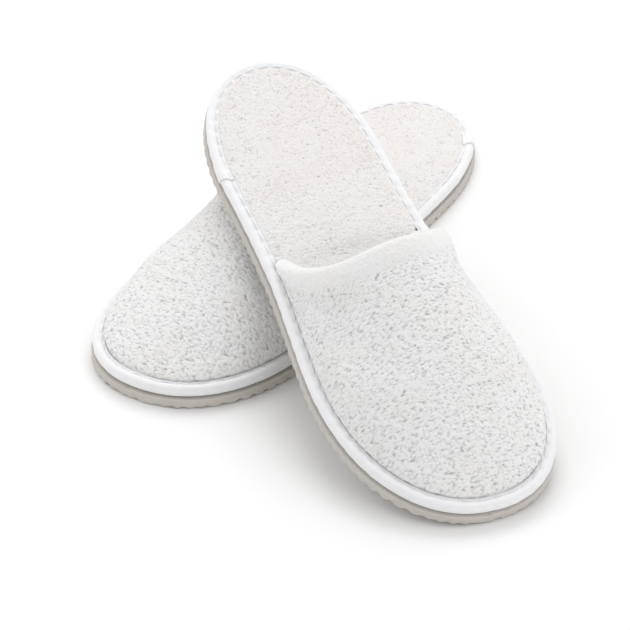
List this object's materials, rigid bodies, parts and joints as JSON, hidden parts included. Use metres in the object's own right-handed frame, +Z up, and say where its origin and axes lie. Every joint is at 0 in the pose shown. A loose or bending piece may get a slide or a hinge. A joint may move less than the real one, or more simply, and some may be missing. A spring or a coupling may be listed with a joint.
{
  "type": "spa slippers",
  "caption": "Pair of closed-toe white terry slippers with bound edges and ribbed foam outsoles, one lying flat and the other resting across its vamp.",
  "frame": {"origin": "on the floor, under the middle of the pair's bounding box", "axes": "+Z up; the lower slipper lies flat with its toe towards -Y, and the upper slipper points its toe towards +X and -Y, down onto the floor"},
  "size_m": [0.2528, 0.3054, 0.0944],
  "materials": {
    "terry": "matte",
    "insole_terry": "matte",
    "tape": "matte",
    "thread": "satin",
    "foam": "matte",
    "lining": "matte",
    "backing": "matte",
    "eva": "matte"
  },
  "bodies": {
    "lower_slipper": {"lower_outsole": "eva", "lower_insole_backing": "backing", "lower_insole_foam": "foam", "lower_insole_terry": "insole_terry", "lower_edge_binding": "tape", "lower_edge_thread": "thread", "lower_vamp_terry": "terry", "lower_vamp_foam": "foam", "lower_vamp_lining": "lining", "lower_opening_hem": "terry", "lower_hem_thread": "thread"},
    "upper_slipper": {"upper_outsole": "eva", "upper_insole_backing": "backing", "upper_insole_foam": "foam", "upper_insole_terry": "insole_terry", "upper_edge_binding": "tape", "upper_edge_thread": "thread", "upper_vamp_terry": "terry", "upper_vamp_foam": "foam", "upper_vamp_lining": "lining", "upper_opening_hem": "terry", "upper_hem_thread": "thread"}
  },
  "joints": [
    {"name": "upper_slipper_lift", "type": "slide", "parent": "lower_slipper", "child": "upper_slipper", "axis": [0, 0, 1], "range_m": [0, 0.2]}
  ]
}
